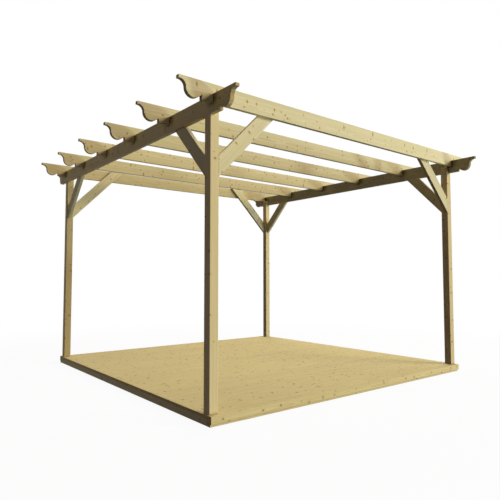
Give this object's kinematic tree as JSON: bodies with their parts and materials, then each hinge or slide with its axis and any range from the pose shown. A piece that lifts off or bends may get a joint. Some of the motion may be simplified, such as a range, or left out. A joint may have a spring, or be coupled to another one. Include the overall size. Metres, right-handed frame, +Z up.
{
  "type": "timber garden pergola on a low deck",
  "caption": "Open timber garden pergola on a low boarded deck: square posts, side beams and rafters with ogee ends, and diagonal braces.",
  "frame": {"origin": "centre of the deck's underside, on the ground", "axes": "+Z up, +X along the rafters to the right side, +Y along the beams to the back"},
  "size_m": [4.2, 4.2, 2.652],
  "materials": {
    "frame_timber": "treated pine, planed",
    "joist_timber": "treated pine, sawn",
    "deck_timber": "treated pine, planed"
  },
  "bodies": {
    "root": {"front_left_post": "frame_timber", "front_right_post": "frame_timber", "back_left_post": "frame_timber", "back_right_post": "frame_timber", "left_beam": "frame_timber", "right_beam": "frame_timber", "rafter_1": "frame_timber", "rafter_2": "frame_timber", "rafter_3": "frame_timber", "rafter_4": "frame_timber", "rafter_5": "frame_timber", "rafter_6": "frame_timber", "front_left_rafter_brace": "frame_timber", "front_right_rafter_brace": "frame_timber", "back_left_rafter_brace": "frame_timber", "back_right_rafter_brace": "frame_timber", "front_left_beam_brace": "frame_timber", "front_right_beam_brace": "frame_timber", "back_left_beam_brace": "frame_timber", "back_right_beam_brace": "frame_timber", "front_rim_joist": "joist_timber", "back_rim_joist": "joist_timber", "left_rim_joist": "joist_timber", "right_rim_joist": "joist_timber", "joist_1": "joist_timber", "joist_2": "joist_timber", "joist_3": "joist_timber", "joist_4": "joist_timber", "joist_5": "joist_timber", "joist_6": "joist_timber", "joist_7": "joist_timber", "deck_boards": "deck_timber", "front_fascia": "deck_timber", "back_fascia": "deck_timber"}
  },
  "joints": []
}
